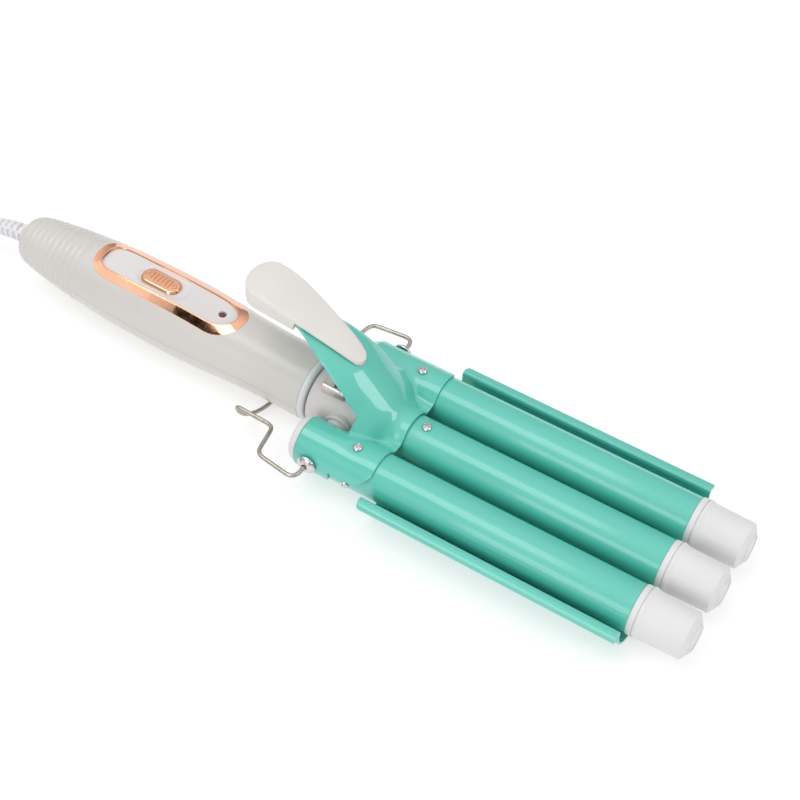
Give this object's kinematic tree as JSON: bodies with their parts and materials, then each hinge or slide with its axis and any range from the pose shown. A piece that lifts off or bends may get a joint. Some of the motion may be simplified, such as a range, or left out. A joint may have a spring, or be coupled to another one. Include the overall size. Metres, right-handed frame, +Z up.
{
  "type": "three-barrel hair waver",
  "caption": "Hand-held hair waver: three parallel heated barrels, the outer pair in a spring-closed thumb-lever jaw over curved wings, with slide switch, fold-out wire stand and mains cord.",
  "frame": {"origin": "on the table under the middle of the tool, cord and plug left out", "axes": "+X along the barrels towards their tips, +Y to the tool's left, +Z up"},
  "size_m": [0.4977, 0.14, 0.0744],
  "materials": {
    "mint_enamel": "glossy baked enamel",
    "ivory_shell": "smooth, softly glossy",
    "white_cap": "smooth, heat-resistant",
    "grey_neck": "fine matt",
    "rose_gold": "polished rose-gold plating",
    "steel_wire": "drawn wire",
    "bright_zinc": "bright zinc",
    "red_lens": "translucent dark red",
    "white_rubber": "soft satin",
    "board": "printed board",
    "black_plastic": "matt",
    "aluminium": "extruded",
    "heater": "film-wrapped strip",
    "lead_cover": "silicone"
  },
  "bodies": {
    "handle": {"handle_upper": "ivory_shell", "handle_lower": "ivory_shell", "bezel": "rose_gold", "control_panel": "ivory_shell", "led_lens": "red_lens", "circuit_board": "board", "slide_switch": "black_plastic", "handle_screws": "bright_zinc", "cord_clamp": "black_plastic", "power_leads": "lead_cover", "front_ring": "white_cap", "neck_housing": "grey_neck", "spring_bracket": "bright_zinc", "clamp_spring": "steel_wire", "hinge_pins": "bright_zinc", "middle_barrel": "mint_enamel", "middle_cap": "white_cap", "middle_wedges": "aluminium", "middle_ptc": "heater", "middle_screw": "bright_zinc", "wing_left": "mint_enamel", "wing_right": "mint_enamel", "wing_cradle": "mint_enamel", "cradle_screws": "bright_zinc", "strain_relief": "white_rubber", "cord_lead": "white_rubber", "cord_coil": "white_rubber", "cord_tail": "white_rubber", "plug_body": "white_rubber", "plug_pins": "bright_zinc"},
    "jaw": {"jaw_cover": "mint_enamel", "thumb_pad": "white_cap", "pad_screws": "bright_zinc", "left_barrel": "mint_enamel", "right_barrel": "mint_enamel", "left_cap": "white_cap", "right_cap": "white_cap", "left_plug": "white_cap", "right_plug": "white_cap", "outer_wedges": "aluminium", "outer_ptc": "heater", "cover_screws": "bright_zinc", "side_screws": "bright_zinc"},
    "switch": {"switch_knob": "rose_gold"},
    "stand": {"wire_stand": "steel_wire"}
  },
  "joints": [
    {"name": "jaw_hinge", "type": "hinge", "parent": "handle", "child": "jaw", "pos_m": [0.00341, 0, 0.0174], "axis": [0, -1, 0], "range_deg": [0, 22], "stiffness_Nm_per_rad": 0.8, "springref_deg": -22.92, "deforming": ["clamp_spring"]},
    {"name": "switch_slide", "type": "slide", "parent": "handle", "child": "switch", "axis": [0.9995, 0, -0.0311], "range_m": [0, 0.004]},
    {"name": "stand_hinge", "type": "hinge", "parent": "handle", "child": "stand", "pos_m": [0.00341, 0, 0.0174], "axis": [0, -1, 0], "range_deg": [0, 100]}
  ]
}
